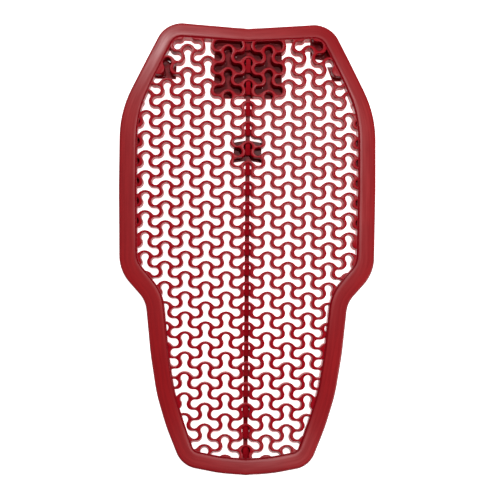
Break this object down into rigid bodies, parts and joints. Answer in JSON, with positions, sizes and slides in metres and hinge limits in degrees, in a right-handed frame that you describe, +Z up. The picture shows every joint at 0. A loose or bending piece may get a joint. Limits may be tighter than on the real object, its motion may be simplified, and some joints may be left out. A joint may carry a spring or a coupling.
{
  "type": "back protector",
  "caption": "Flexible moulded back protector insert: smooth rim round an open lattice of Y-shaped cells, spine rib and gentle body-shaped bend.",
  "frame": {"origin": "middle of the pad's plan, at the level of the surface that it lies on", "axes": "+Y towards the neck end, +X across to the side on the right seen from outside, +Z up out of the outer face"},
  "size_m": [0.252, 0.4442, 0.0205],
  "materials": {
    "elastomer": "satin dark red moulded elastomer, slightly translucent in its thin walls"
  },
  "bodies": {
    "root": {"back_protector": "elastomer"}
  },
  "joints": []
}
